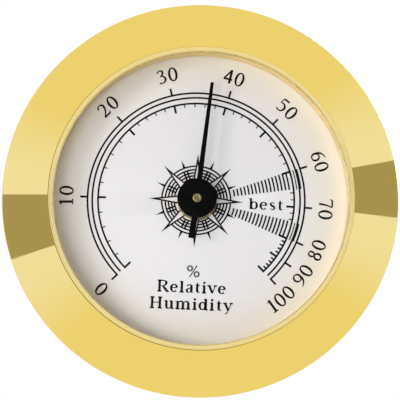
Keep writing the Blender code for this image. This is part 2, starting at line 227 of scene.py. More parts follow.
def sheet_mesh(name, outlines, front, rear, bevel=0.0, steps=2):
    """A flat sheet in the XZ plane from several outlines, the first its edge and the rest holes."""
    curve = bpy.data.curves.new(name, "CURVE")
    curve.dimensions = "2D"
    curve.fill_mode = "BOTH"
    curve.extrude = 0.5 * (rear - front) - bevel
    curve.bevel_depth = bevel
    curve.bevel_resolution = steps
    curve.offset = -bevel
    for outline in outlines:
        spline = curve.splines.new("POLY")
        spline.points.add(len(outline) - 1)
        for point, (x, z) in zip(spline.points, outline):
            point.co = (x, z, 0.0, 1.0)
        spline.use_cyclic_u = True
    bm = baked(linked(name + "_outline", curve))
    middle = 0.5 * (front + rear)
    for vert in bm.verts:
        x, z, depth = vert.co
        vert.co = (x, middle + depth, z)
    bmesh.ops.remove_doubles(bm, verts=bm.verts[:], dist=1e-7)
    return tidy_mesh(name, bm, 40.0)


def cut(mesh, cutter, name):
    """The mesh with a closed cutter mesh taken out of it."""
    body, helper = linked(name + "_body", mesh), linked(name + "_cutter", cutter)
    step = body.modifiers.new("cut", "BOOLEAN")
    step.operation = "DIFFERENCE"
    step.solver = "EXACT"
    step.object = helper
    return tidy_mesh(name, baked(body, helper))


# ---- finishes

SOCKET_NAMES = {
    "colour": "Base Color",
    "metallic": "Metallic",
    "roughness": "Roughness",
    "specular": "Specular IOR Level",
    "alpha": "Alpha",
}


class Nodes:
    """Short ways to add nodes to a tree and link them."""

    def __init__(self, tree):
        self.tree = tree

    def put(self, socket, value):
        """Link an output to a socket, or set a plain value on it."""
        if isinstance(value, bpy.types.NodeSocket):
            self.tree.links.new(value, socket)
        else:
            socket.default_value = value

    def node(self, kind, settings=None, **inputs):
        made = self.tree.nodes.new("ShaderNode" + kind)
        for key, value in (settings or {}).items():
            setattr(made, key, value)
        for key, value in inputs.items():
            self.put(made.inputs[key], value)
        return made

    def math(self, operation, *values):
        made = self.node("Math", {"operation": operation})
        for socket, value in zip(made.inputs, values):
            self.put(socket, value)
        return made.outputs[0]

    def spread(self, source, low, high, start=0.3, stop=0.7, **settings):
        """Map the range from `start` to `stop` to that from `low` to `high`."""
        limits = {"From Min": start, "From Max": stop, "To Min": low, "To Max": high}
        return self.node("MapRange", settings, Value=source, **limits).outputs[0]

    def mix_colour(self, share, first, second):
        made = self.node("Mix", {"data_type": "RGBA"}, Factor=share)
        for index, value in enumerate((first, second), 6):
            self.put(made.inputs[index], (*value, 1.0) if isinstance(value, tuple) else value)
        return made.outputs[2]


class Finish(Nodes):
    """A Principled material whose sockets are set or driven from nodes."""

    def __init__(self, name, **sockets):
        self.material = bpy.data.materials.new(name)
        self.material.use_nodes = True
        super().__init__(self.material.node_tree)
        self.shader = self.tree.nodes["Principled BSDF"]
        for socket, value in sockets.items():
            self.shader.inputs[SOCKET_NAMES[socket]].default_value = value

    def drive(self, socket, source):
        self.tree.links.new(source, self.shader.inputs[SOCKET_NAMES[socket]])

    def place(self, stretch=None):
        spot = self.node("TexCoord").outputs["Object"]
        return self.node("Mapping", Vector=spot, Scale=stretch).outputs[0] if stretch else spot

    def noise(self, scale, detail=3.0, roughness=0.55, stretch=None):
        inputs = {"Scale": scale, "Detail": detail, "Roughness": roughness}
        return self.node("TexNoise", Vector=self.place(stretch), **inputs).outputs["Fac"]

    def radius(self, centre):
        """Distance from a line along Y through `centre`."""
        place = self.node("SeparateXYZ", Vector=self.place()).outputs
        across = self.math("SUBTRACT", place["X"], centre[0])
        up = self.math("SUBTRACT", place["Z"], centre[1])
        squares = self.math("MULTIPLY_ADD", across, across, self.math("MULTIPLY", up, up))
        return self.math("SQRT", squares)

    def turned_lines(self, centre, spacing):
        """Fine lines round an axis, uneven like a lathe's, from 0 to 1."""
        scaled = self.math("DIVIDE", self.radius(centre), spacing)
        made = self.node("TexNoise", {"noise_dimensions": "1D"}, W=scaled, Scale=1.0, Detail=2.0)
        return made.outputs["Fac"]

    def scratches(self, scale, stretch):
        """Sparse hairline marks, 0 over most of the surface."""
        return self.spread(self.noise(scale, 1.0, 0.5, (1.0, 1.0, stretch)), 0.0, 1.0, 0.62, 0.72)

    def bump(self, height, distance):
        made = self.node("Bump", Height=height, Distance=distance, Strength=1.0)
        self.tree.links.new(made.outputs["Normal"], self.shader.inputs["Normal"])


def clouded(name, shades, cloud, rough, fine=None, share=0.0, relief=0.0, marks=None, **sockets):
    """A finish that varies in soft clouds, with a finer texture over them.

    `shades` are the clouds' two colours, `cloud` is their noise's scale and detail, and `rough`
    is the roughness between them. `fine` makes the finer texture, or the clouds serve as it: it
    adds up to `share` to the roughness and stands up to `relief` metres high. `marks` holds the
    scale and stretch of scratches and what they add to the roughness.
    """
    made = Finish(name, **sockets)
    clouds = made.noise(*cloud)
    made.drive("colour", made.mix_colour(clouds, *shades))
    texture = fine(made) if fine else clouds
    gloss = made.math("MULTIPLY_ADD", texture, share, made.spread(clouds, *rough))
    if marks:
        gloss = made.math("MULTIPLY_ADD", made.scratches(*marks[:2]), marks[2], gloss)
    made.drive("roughness", gloss)
    if relief:
        made.bump(texture, relief)
    return made.material


def polished_brass():
    made = Finish("polished_brass", metallic=1.0)
    cloud = made.noise(180.0, 4.0)
    made.drive("colour", made.mix_colour(cloud, (0.843, 0.634, 0.153), (0.851, 0.642, 0.159)))
    lines = made.turned_lines(CASE_AXIS, 0.00006)
    haze = made.math("MULTIPLY_ADD", lines, 0.006, made.spread(cloud, 0.008, 0.016))
    marks = made.scratches(900.0, 0.06)
    made.drive("roughness", made.math("MULTIPLY_ADD", marks, 0.02, haze))
    made.bump(made.noise(2600.0, 2.0), 0.00000003)
    return made.material


def satin_dial():
    """Silvered dial whose colour turns cream towards the rim: a painted reflection of the warm
    light the gilt wall throws on it.
    """
    made = Finish("satin_dial", specular=0.3)
    grain = made.noise(5200.0, 3.0, 0.6)
    cloud = made.noise(140.0, 3.0)
    tone = made.math("MULTIPLY_ADD", grain, 0.5, made.math("MULTIPLY", cloud, 0.5))
    silver = made.mix_colour(tone, (0.64, 0.63, 0.62), (0.69, 0.68, 0.67))
    # Painted reflection: a cream tint near the rim stands in for the gilt wall's warm glow on the
    # dial. It fades in between 17.5 and 22.5 mm from the case's axis.
    painted_wall_glow = made.mix_colour(tone, (0.65, 0.62, 0.56), (0.70, 0.67, 0.61))
    rim = made.spread(made.radius(CASE_AXIS), 0.0, 1.0, 17.5 * MM, 22.5 * MM)
    made.drive("colour", made.mix_colour(rim, silver, painted_wall_glow))
    made.drive("roughness", made.spread(grain, 0.36, 0.5))
    made.bump(grain, 0.0000012)
    return made.material


def clear_glass():
    made = Finish("clear_glass", colour=(0.50, 0.52, 0.52, 1.0), metallic=1.0, alpha=0.045)
    made.drive("roughness", made.spread(made.noise(2400.0, 2.0), 0.01, 0.03))
    return made.material


def lines(centre, spacing):
    return lambda made: made.turned_lines(centre, spacing)


def grain(*settings):
    return lambda made: made.noise(*settings)


def make_finishes():
    return {
        "brass": polished_brass(),
        "dial": satin_dial(),
        "glass": clear_glass(),
        "gilt": clouded(
            "gilt_bezel", ((0.87, 0.70, 0.29), (0.85, 0.66, 0.23)), (260.0, 4.0), (0.2, 0.26),
            lines(CASE_AXIS, 0.00005), 0.06, 0.0000002, metallic=1.0,
        ),
        "warm": clouded(
            "gilt_wall", ((0.89, 0.67, 0.20), (0.87, 0.63, 0.16)), (260.0, 4.0), (0.08, 0.14),
            lines(CASE_AXIS, 0.00005), 0.06, 0.0000002, metallic=1.0,
        ),
        "turned": clouded(
            "turned_brass", ((0.56, 0.41, 0.19), (0.68, 0.52, 0.27)), (500.0, 4.0), (0.2, 0.34),
            lines(MOVEMENT_AXIS, 0.00008), 0.12, 0.000002, metallic=1.0,
        ),
        # Dull olive brass of the pointer's bush and the arbor's end.
        "aged": clouded(
            "aged_brass", ((0.17, 0.14, 0.055), (0.34, 0.28, 0.13)), (1400.0, 4.0), (0.22, 0.36),
            lines(MOVEMENT_AXIS, 0.00005), 0.1, 0.000002, metallic=1.0,
        ),
        "pressed": clouded(
            "pressed_brass", ((0.74, 0.54, 0.20), (0.84, 0.65, 0.28)), (90.0, 5.0), (0.14, 0.26),
            grain(700.0, 3.0, 0.55, (0.05, 1.0, 0.05)), 0.16, 0.0000015, metallic=1.0,
        ),
        "steel": clouded(
            "plated_steel", ((0.55, 0.54, 0.52), (0.70, 0.69, 0.67)), (600.0, 4.0), (0.16, 0.28),
            grain(1500.0, 3.0, 0.55, (0.08, 1.0, 1.0)), 0.18, 0.0000015, metallic=1.0,
        ),
        # The back keeps the fine rings that spinning leaves.
        "aluminium": clouded(
            "spun_aluminium", ((0.48, 0.48, 0.47), (0.62, 0.62, 0.61)), (120.0, 4.0), (0.16, 0.26),
            lines(CASE_AXIS, 0.00012), 0.26, 0.000004, (500.0, 0.05, 0.12), metallic=1.0,
        ),
        "strip": clouded(
            "coated_strip", ((0.60, 0.46, 0.30), (0.76, 0.61, 0.42)), (900.0, 4.0), (0.3, 0.5),
            relief=0.000003, metallic=0.7,
        ),
        "gauze": clouded(
            "dark_wire", ((0.07, 0.068, 0.06), (0.20, 0.19, 0.165)), (1500.0, 3.0), (0.38, 0.62),
            grain(6000.0), relief=0.000002, metallic=0.9,
        ),
        "rubber": clouded(
            "black_rubber", ((0.014, 0.014, 0.014), (0.035, 0.034, 0.033)), (700.0, 5.0),
            (0.5, 0.74), grain(3500.0), relief=0.000006,
        ),
        "seal": clouded(
            "amber_seal", ((0.44, 0.33, 0.16), (0.56, 0.43, 0.22)), (900.0, 3.0), (0.42, 0.6),
        ),
        "enamel": clouded(
            "black_enamel", ((0.001, 0.001, 0.001), (0.003, 0.0027, 0.0027)), (1600.0, 4.0),
            (0.28, 0.42), relief=0.000001, specular=0.02,
        ),
        "ink": clouded(
            "printing_ink", ((0.004, 0.0035, 0.003), (0.010, 0.009, 0.008)), (3000.0, 3.0),
            (0.44, 0.6), specular=0.06,
        ),
        "grey": clouded(
            "grey_ink", ((0.05, 0.05, 0.05), (0.08, 0.08, 0.08)), (3000.0, 3.0), (0.45, 0.45),
            specular=0.2,
        ),
    }


# ---- front: flange, bezel, lens

# Fillets that many pieces share.
FINE = 0.02 * MM
HAIR = 0.05 * MM
EASED = 0.1 * MM
ROUNDED = 0.2 * MM

FLANGE_RADIUS = radius_of("flange_ring")
FLANGE_EDGE = 1.06 * MM
FLANGE_CREST = 3.2 * MM
FLANGE_GROOVE_DEPTH = 0.9 * MM
BEZEL_RADIUS = radius_of("lens_bezel")
BEZEL_OUTER = BEZEL_RADIUS - 0.08 * MM
BEZEL_LIP = BEZEL_RADIUS - 1.05 * MM
BEAD_ROOT = -2.8 * MM
BEAD_CREST = -3.44 * MM
BEAD_START = 38.0
TUBE_WALL = 0.35 * MM
REFLECTOR_WALL = 0.43 * MM
DIAL_HOLE = 2.45 * MM
FLANGE_BORE = BEZEL_OUTER + 0.03 * MM

# The bezel, the flange's bore and the wall behind the bezel sit a hair up and to the right of
# the case's axis, each by a little more or less than the next.
BEZEL_AXIS = (0.2 * MM, 0.1 * MM)
BORE_AXIS = (0.17 * MM, 0.07 * MM)
REFLECTOR_AXIS = (0.05 * MM, 0.1 * MM)


def make_flange(finish):
    """Conical flange with a rolled outer edge and a groove behind it for the case's rim."""
    rear = -0.02 * MM
    groove_out = radius_of("case_body") + 0.3 * MM
    groove_in = groove_out - 1.6 * MM
    corners = [
        (FLANGE_BORE, rear, 0.15 * MM),
        (groove_in, rear, EASED),
        (groove_in, -FLANGE_GROOVE_DEPTH, EASED),
        (groove_out, -FLANGE_GROOVE_DEPTH, EASED),
        (groove_out, rear, EASED),
        (FLANGE_RADIUS, rear, 0.3 * MM),
        (FLANGE_RADIUS, -FLANGE_EDGE, 0.15 * MM),
        (FLANGE_BORE, -FLANGE_CREST, HAIR),
    ]
    profile = rounded(corners, steps=7)
    flange = lathed("flange", profile, "case", finish["brass"], "brass", ["flange_ring"])
    for vert in flange.data.vertices:
        if math.hypot(vert.co.x, vert.co.z) < FLANGE_BORE + 0.3 * MM:
            vert.co.x += BORE_AXIS[0]
            vert.co.z += BORE_AXIS[1]
    return flange


def make_bezel(finish):
    """Thin bezel: a half-round bead against the flange, and a tube behind it."""
    rear = rear_of("lens_bezel")
    seat = front_of("lens") - 0.12 * MM
    half_width = (BEZEL_OUTER - BEZEL_LIP) / (1.0 + math.cos(math.radians(BEAD_START)))
    profile = [(BEZEL_LIP, seat)]
    for across, along in arc(1.0, 180.0, BEAD_START, 24):
        height = BEAD_ROOT + (BEAD_CREST - BEAD_ROOT) * along
        profile.append((BEZEL_LIP + half_width * (1.0 + across), height))
    inside = BEZEL_OUTER - TUBE_WALL
    profile += [(BEZEL_OUTER, rear), (inside, rear), (inside, seat)]
    return lathed(
        "bezel", profile, "case", finish["gilt"], "gilt", ["lens_bezel"], centre=BEZEL_AXIS
    )


def make_lens(finish):
    front, rear, edge = front_of("lens"), rear_of("lens"), radius_of("lens")
    corners = [
        (0.0, front, 0.0),
        (edge, front, 0.15 * MM),
        (edge, rear, EASED),
        (0.0, rear, 0.0),
    ]
    profile = rounded(corners, closed=False, steps=4)
    piece = lathed("lens_glass", profile, "case", finish["glass"], "glass", ["lens"], closed=False)
    piece.visible_shadow = False


def make_seal(finish):
    """Flat seal between the lens and the wall behind it, hidden by the bezel's lip."""
    front, rear = front_of("lens_seal"), rear_of("lens_seal")
    inner, outer = BEZEL_LIP + HAIR, radius_of("lens_seal")
    corners = [
        (inner, front, 0.08 * MM),
        (outer, front, HAIR),
        (outer, rear, HAIR),
        (inner, rear, 0.08 * MM),
    ]
    profile = rounded(corners, steps=4)
    lathed("seal", profile, "case", finish["seal"], "seal", ["lens_seal"], centre=BEZEL_AXIS)


def make_reflector(finish):
    """Gilt wall between the lens's seal and the dial."""
    front, rear = front_of("reflector_ring"), rear_of("reflector_ring")
    outer = radius_of("reflector_ring")
    opening = outer - REFLECTOR_WALL
    corners = [
        (opening + 0.15 * MM, front, 0.06 * MM),
        (outer, front, 0.06 * MM),
        (outer, rear, HAIR),
        (opening, rear, HAIR),
    ]
    return lathed(
        "reflector", rounded(corners, steps=3), "case", finish["warm"], "gilt",
        ["reflector_ring"], centre=REFLECTOR_AXIS,
    )


def make_dial(finish):
    """Dial disc with a fine chamfer and the hole that the bearing boss stands in."""
    outline = circle(radius_of("dial_plate"), 192)
    hole = circle(DIAL_HOLE, 64, MOVEMENT_AXIS)[::-1]
    mesh = sheet_mesh(
        "dial", [outline, hole], DIAL_FACE, rear_of("dial_plate"), bevel=0.04 * MM
    )
    add_piece("dial", mesh, "case", finish["dial"], ["dial_plate"])


# ---- printed dial

PRINT_CENTRE = (MOVEMENT_AXIS[0] - 0.17 * MM, MOVEMENT_AXIS[1] + 0.02 * MM)
PRINT_TILT = -2.5
INK_THICKNESS = 0.012 * MM
INK_GAP = 0.002 * MM
ARC_RADII = (17.4, 18.43, 19.27)
ARC_WIDTH = 0.33
TICK_OUTER_END = 20.6
TICK_OUTER_WIDTH = 0.36
TICK_INNER_END = 16.0
TICK_INNER_WIDTH = 0.38
TICK_SHORT_END = 16.72
# The short ticks are heavier where the scale is crowded.
CROWDED_FROM = 80
TICK_SHORT_WIDTHS = (0.2, 0.3)
NUMERAL_RADIUS = 23.06
NUMERAL_HEIGHT = 2.5
NUMERAL_ADVANCE = 2.0

# The scale is closer at its ends: angle of each tenth, anticlockwise from the print's own +X.
SCALE_ANGLES = (226.0, 180.6, 135.5, 105.4, 75.0, 47.5, 19.6, -1.5, -20.5, -32.8, -44.4)

# The numerals stand a hair off their marks, as printed.
NUMERAL_ANGLES = (225.9, 180.6, 135.35, 105.4, 75.4, 47.8, 20.1, -1.5, -20.25, -32.9, -47.7)
TURNED_NUMERALS = (80, 90, 100)
TURNED_LIFT = 0.1
HUNDRED_PULL = 0.3
ZONES = ((60, 65), (75, 80))

# For each zone, the angles of its hatch's two edges: at the first stroke and at the last.
ZONE_EDGES = ((18.5, 20.1, 8.4, 9.0), (-9.6, -10.1, -20.7, -21.2))
HATCH_FIRST = 6.85
HATCH_PITCH = 0.652
HATCH_COUNT = 16
HATCH_WIDTH = 0.3

# Radius and width of the two strokes that mark each zone on the scale.
ZONE_STROKES = ((ARC_RADII[1] + 0.1, 0.52), (ARC_RADII[0] + 0.56, 0.2))
ZONE_GAP = 0.4


def scale_angle(value):
    """Angle of a reading on the printed scale."""
    lower = min(int(value // 10), len(SCALE_ANGLES) - 2)
    share = value / 10.0 - lower
    return SCALE_ANGLES[lower] * (1.0 - share) + SCALE_ANGLES[lower + 1] * share


class Print:
    """Collects flat strokes in the dial's plane, in millimetres and in the print's frame."""

    def __init__(self, name, layer=0):
        self.name = name
        self.bm = bmesh.new()
        rear = DIAL_FACE - INK_GAP - layer * 0.5 * INK_THICKNESS
        self.depths = (rear - INK_THICKNESS, rear)

    def spot(self, point, depth):
        across, up = turned(point, PRINT_TILT)
        return self.bm.verts.new(
            (PRINT_CENTRE[0] + across * MM, depth, PRINT_CENTRE[1] + up * MM)
        )

    def polygon(self, points):
        loops = [[self.spot(point, depth) for point in points] for depth in self.depths]
        loft(self.bm, loops)

    def ribbon(self, points, widths, closed=False):
        """A stroke of varying width along a line of points."""
        count = len(points)
        sides = []
        for index, point in enumerate(points):
            before = points[index - 1] if index or closed else point
            after = points[(index + 1) % count] if index < count - 1 or closed else point
            along = Vector(after) - Vector(before)
            normal = Vector((-along.y, along.x)).normalized() * 0.5 * widths[index]
            left, right = Vector(point) + normal, Vector(point) - normal
            front, rear = self.depths
            corners = ((left, front), (right, front), (right, rear), (left, rear))
            sides.append([self.spot(*corner) for corner in corners])
        loft(self.bm, sides, closed)

    def line(self, start, end, width):
        self.ribbon([start, end], [width, width])

    def ring_arc(self, radius, start, end, width):
        steps = max(4, int(abs(end - start) * radius / 12.0))
        points = arc(radius, start, end, steps)
        self.ribbon(points, [width] * len(points))

    def ray(self, angle, inner, outer, width):
        self.line(turned((inner, 0.0), angle), turned((outer, 0.0), angle), width)

    def finish(self, material):
        mesh = tidy_mesh(self.name, self.bm)
        return add_piece(self.name, mesh, "case", material)


def print_scale(finish):
    ink = Print("scale_print")
    start, end = SCALE_ANGLES[0], SCALE_ANGLES[-1]
    half = 0.5 * ARC_WIDTH
    for radius in ARC_RADII:
        ink.ring_arc(radius, start, end, ARC_WIDTH)
    zone_values = [value for low, high in ZONES for value in range(low + 1, high)]
    for value in range(0, 101, 2):
        angle = scale_angle(value)
        if value % 10 == 0:
            ink.ray(angle, ARC_RADII[2] - half, TICK_OUTER_END, TICK_OUTER_WIDTH)
            ink.ray(angle, TICK_INNER_END, ARC_RADII[0] + half, TICK_INNER_WIDTH)
        elif value not in zone_values:
            width = TICK_SHORT_WIDTHS[value > CROWDED_FROM]
            ink.ray(angle, TICK_SHORT_END, ARC_RADII[0], width)
    ink.finish(finish["ink"])


def print_zones(finish):
    """Hatched fans inside the scale, and heavier strokes on it, at the ends of the useful range."""
    ink = Print("zone_print", layer=1)
    for (low, high), edges in zip(ZONES, ZONE_EDGES):
        for index in range(HATCH_COUNT):
            share = index / (HATCH_COUNT - 1)
            start = edges[0] + (edges[1] - edges[0]) * share
            end = edges[2] + (edges[3] - edges[2]) * share
            ink.ring_arc(HATCH_FIRST + index * HATCH_PITCH, start, end, HATCH_WIDTH)
        start, end = scale_angle(low) + ZONE_GAP, scale_angle(high) - ZONE_GAP
        for radius, width in ZONE_STROKES:
            ink.ring_arc(radius, start, end, width)
    ink.finish(finish["ink"])


# The star in the middle of the dial, in millimetres.
ROSE_TIP = 8.45
ROSE_ROOT = 3.3
ROSE_LIGHT_END = 6.5
ROSE_HALF_WIDTH = 0.75
ROSE_LIGHT_HALF = 0.46
ROSE_RINGS = (3.88, 4.4, 4.93, 5.49, 6.11)
ROSE_RING_WIDTH = 0.29
ROSE_BAR_OFFSET = 0.29
ROSE_BAR_WIDTH = 0.31
SPIKE_TIP = 7.7
SPIKE_HALF_WIDTH = 0.25


def kite_half_angle(radius):
    """Half the angle that one long point of the rose covers at a radius, in degrees."""
    share = (ROSE_TIP - radius) / (ROSE_TIP - ROSE_ROOT)
    return math.degrees(math.asin(min(1.0, ROSE_HALF_WIDTH * share / radius)))


def print_rose(finish):
    """Eight long open points, eight short spikes, and rings crossed by pairs of bars."""
    ink = Print("rose_print")
    for index in range(8):
        angle = 45.0 * index
        for side in (1.0, -1.0):
            point = (
                (ROSE_ROOT, side * ROSE_LIGHT_HALF),
                (ROSE_ROOT, side * ROSE_HALF_WIDTH),
                (ROSE_TIP, 0.0),
                (ROSE_LIGHT_END, 0.0),
            )
            ink.polygon([turned(corner, angle) for corner in point])
        between = angle + 22.5
        spike = (
            (ROSE_RINGS[-1], SPIKE_HALF_WIDTH),
            (ROSE_RINGS[-1], -SPIKE_HALF_WIDTH),
            (SPIKE_TIP, 0.0),
        )
        ink.polygon([turned(corner, between) for corner in spike])
        for radius in ROSE_RINGS:
            gap = kite_half_angle(radius)
            ink.ring_arc(radius, angle + gap, angle + 45.0 - gap, ROSE_RING_WIDTH)
        for side in (ROSE_BAR_OFFSET, -ROSE_BAR_OFFSET):
            start, end = (turned((ROSE_RINGS[ring], side), between) for ring in (0, -2))
            ink.line(start, end, ROSE_BAR_WIDTH)
    ink.finish(finish["ink"])


# ---- lettering

# A glyph is a list of strokes in a box one cap height tall, with its middle at x = 0.
# "pen": a smooth line through (x, y, width) points; "bowl": an ellipse with heavy sides, as
# (centre x, centre y, half width, half height, first angle, last angle, heavy, light).
# Lengths are written in hundredths of the cap height and kept as shares of it.
HEAVY = 17
LIGHT = 9


def shares(*values):
    return tuple(value / 100.0 for value in values)


def pen(*points):
    return ("pen", [shares(*point) for point in points])


def bar(x0, y0, x1, y1, width=LIGHT):
    return pen((x0, y0, width), (x1, y1, width))


def bowl(x, y, half_width, half_height, start=0.0, end=360.0, heavy=HEAVY, light=LIGHT):
    sizes = shares(x, y, half_width, half_height)
    return ("bowl", (*sizes, start, end, *shares(heavy, light)))


def stem(x, height, foot=True, flag=True):
    """An upright with a foot serif and a slanted top serif."""
    strokes = [bar(x, 0, x, height, 15)]
    if foot:
        strokes.append(bar(x - 15, 2.5, x + 15, 2.5))
    if flag:
        strokes.append(pen((x - 16, height - 7, 4), (x, height - 2, 7)))
    return strokes


def half_turn(strokes):
    """The strokes turned upside down about the middle of the glyph."""
    over = []
    for kind, data in strokes:
        if kind == "pen":
            over.append((kind, [(-x, 1.0 - y, width) for x, y, width in data]))
        else:
            x, y, half_width, half_height, start, end, heavy, light = data
            spin = (start + 180.0, end + 180.0)
            over.append((kind, (-x, 1.0 - y, half_width, half_height, *spin, heavy, light)))
    return over


SIX = [
    bowl(0, 30, 24.5, 27, heavy=14.5),
    pen((26, 96.5, 6), (0, 86, 10), (-19, 64, 14), (-24.5, 34, 14.5)),
]
LOW_BOWL = [(21.5, 30, 15.5), (11, 9, 11), (-10, 3, 9), (-26, 8, 14)]

GLYPHS = {
    "0": [bowl(0, 50, 25.5, 46.8)],
    "1": [
        bar(0, 0, 0, 98, 17.5),
        pen((-20, 84, 7), (-10, 88, 8), (0, 95, 9)),
        bar(-20, 3.5, 20, 3.5),
    ],
    "2": [
        pen(
            (-27, 74, 12), (-22, 90, 10), (-5, 96, 9), (14, 86, 14),
            (16, 68, 15), (2, 38, 12), (-28, 8, 9),
        ),
        bar(-33, 6.5, 21, 6.5, 13),
        pen((20, 7, 10), (27, 20, 5)),
    ],
    "3": [
        pen(
            (-27, 81, 11), (-9, 95.5, 8.5), (10, 88, 13.5), (11, 73, 14),
            (1, 59, 10), (-12, 54, 7),
        ),
        pen((-12, 54, 7), (10, 50, 10), *LOW_BOWL),
    ],
    "4": [
        pen((12, 96, 12), (-28, 33, 13)),
        bar(-33, 30, 29, 30, 14),
        bar(13, 0, 13, 100, 17),
    ],
    "5": [
        bar(-22, 92, 23, 94, 13),
        bar(-21, 93, -26, 58, 7.5),
        pen((-26, 57, 7), (0, 61, 11), (17, 48, 15.5), *LOW_BOWL),
    ],
    "6": SIX,
    "7": [
        bar(-25, 93, 27, 93, 12),
        pen((-26, 93, 8), (-29, 77, 5)),
        pen((28, 93, 7), (12, 55, 12), (2, 0, 15)),
    ],
    "8": [
        bowl(0, 74.5, 17, 20.5, heavy=13.5, light=9),
        bowl(0, 26.8, 21, 23.5, heavy=16, light=10),
    ],
    "9": half_turn(SIX),
    "%": [
        bowl(-23, 73, 15, 20, heavy=9, light=7),
        bowl(23, 27, 15, 20, heavy=9, light=7),
        bar(24, 98, -24, 2, 6),
    ],
    "H": [
        *stem(-27, 100, flag=False), bar(-42, 97.5, -12, 97.5),
        *stem(27, 100, flag=False), bar(12, 97.5, 42, 97.5),
        bar(-27, 52, 27, 52, 6),
    ],
    "R": [
        *stem(-23, 100, flag=False), bar(-38, 97.5, 0, 97.5),
        pen(
            (-23, 97.5, 5), (5, 97.5, 6), (22, 88, 13), (23, 72, 15),
            (12, 55, 8), (-2, 50, 5), (-23, 50, 5),
        ),
        pen((0, 50, 10), (15, 28, 15), (32, 3, 15)), bar(24, 2.5, 44, 2.5),
    ],
    "a": [
        pen(
            (-17, 56, 10), (-6, 68, 6), (7, 67, 9), (14, 54, 15),
            (14, 14, 15), (17, 4, 8), (26, 4, 5),
        ),
        pen(
            (14, 42, 5), (-6, 35, 7), (-18, 19, 14), (-12, 4, 9),
            (0, 3, 6), (13, 13, 6),
        ),
    ],
    "b": [*stem(-19, 100, foot=False), bowl(3, 35, 20, 32.5, heavy=15, light=6)],
    "d": [
        *stem(17, 100, foot=False), bar(17, 2.5, 32, 2.5),
        bowl(-5, 35, 20, 32.5, heavy=15, light=6),
    ],
    "e": [
        bowl(0, 35, 20, 32.5, 8, 320, heavy=15, light=6),
        bar(-19, 38.5, 22, 38.5, 5.5),
    ],
    "i": [*stem(0, 70), bowl(0, 91, 4.5, 4.5, heavy=8.5, light=8.5)],
    "l": stem(0, 100),
    "m": [
        *stem(-37, 70), *stem(0, 55, flag=False), *stem(37, 55, flag=False),
        pen((-35, 54, 5), (-21, 67, 8), (-6, 66, 11), (0, 50, 15)),
        pen((2, 54, 5), (16, 67, 8), (31, 66, 11), (37, 50, 15)),
    ],
    "s": [
        pen(
            (15, 54, 5), (2, 67, 6), (-14, 57, 11), (-7, 42, 14),
            (10, 29, 14), (14, 13, 11), (-1, 3, 6), (-16, 15, 5),
        ),
    ],
    "t": [
        pen(
            (-2, 90, 4), (-2, 70, 13), (-2, 20, 15), (4, 5, 9),
            (17, 8, 4),
        ),
        bar(-15, 67, 17, 67, 6),
    ],
    "u": [
        bar(-18, 70, -18, 22, 15), bar(-32, 67.5, -14, 67.5),
        pen((-18, 24, 15), (-14, 7, 11), (0, 3, 7), (18, 16, 5)),
        bar(18, 0, 18, 70, 15), bar(4, 67.5, 20, 67.5), bar(18, 2.5, 33, 2.5),
    ],
    "v": [
        bar(-22, 69, 2, 3, 14), bar(21, 69, 3, 3, 6),
        bar(-35, 67.5, -9, 67.5), bar(10, 67.5, 33, 67.5),
    ],
    "y": [
        bar(-22, 69, 4, 3, 14), bar(-35, 67.5, -9, 67.5),
        pen((22, 69, 6), (3, 6, 6), (-6, -18, 6), (-18, -24, 11)),
        bar(10, 67.5, 34, 67.5),
    ],
}
ADVANCE = {
    "%": 0.95, "H": 0.93, "R": 0.86, "a": 0.58, "b": 0.64, "d": 0.66, "e": 0.60, "i": 0.37,
    "l": 0.37, "m": 1.08, "s": 0.50, "t": 0.44, "u": 0.70, "v": 0.64, "y": 0.64,
}
PEN_STEPS = 6


def smooth_line(points):
    """A Catmull-Rom line through (x, y, width) points."""
    if len(points) == 2:
        return points
    padded = [points[0], *points, points[-1]]
    made = []
    for p0, p1, p2, p3 in zip(padded, padded[1:], padded[2:], padded[3:]):
        for step in range(PEN_STEPS):
            t = step / PEN_STEPS
            made.append(tuple(
                0.5 * (2 * b + (c - a) * t + (2 * a - 5 * b + 4 * c - d) * t * t
                       + (3 * b - a - 3 * c + d) * t ** 3)
                for a, b, c, d in zip(p0, p1, p2, p3)
            ))
    made.append(points[-1])
    return made


def bowl_line(data):
    """Points and widths round an ellipse that is heavy at its sides and light at top and bottom."""
    x, y, half_width, half_height, start, end, heavy, light = data
    steps = max(10, int(abs(end - start) / 9.0))
    made = []
    for step in range(steps + 1):
        turn = math.radians(start + (end - start) * step / steps)
        width = light + (heavy - light) * abs(math.cos(turn)) ** 1.3
        made.append((x + half_width * math.cos(turn), y + half_height * math.sin(turn), width))
    return made


def draw_glyph(ink, glyph, centre, size, degrees, weight=1.0, stretch=1.0):
    """Draw a glyph with its middle at `centre` and its up direction turned by the angle."""
    for kind, data in GLYPHS[glyph]:
        line = smooth_line(data) if kind == "pen" else bowl_line(data)
        loop = kind == "bowl" and abs(data[5] - data[4]) == 360.0
        if loop:
            line = line[:-1]
        points = [
            turned((x * size * stretch, (y - 0.5) * size), degrees, centre) for x, y, _ in line
        ]
        widths = [width * size * weight for _, _, width in line]
        ink.ribbon(points, widths, closed=loop)


def print_numerals(finish):
    """Tens round the scale, upright at the top and turned over at the lower right."""
    ink = Print("numeral_print")
    for index, angle in enumerate(NUMERAL_ANGLES):
        text = str(10 * index)
        over = 10 * index in TURNED_NUMERALS
        radius = NUMERAL_RADIUS + (TURNED_LIFT if over else 0.0)
        for place, glyph in enumerate(text):
            along = (place - 0.5 * (len(text) - 1)) * NUMERAL_ADVANCE
            if text == "100" and place == 0:
                along += HUNDRED_PULL
            step = math.degrees(along / radius)
            here = angle + (step if over else -step)
            centre = turned((radius, 0.0), here)
            draw_glyph(ink, glyph, centre, NUMERAL_HEIGHT, here + (90.0 if over else -90.0))
    ink.finish(finish["ink"])


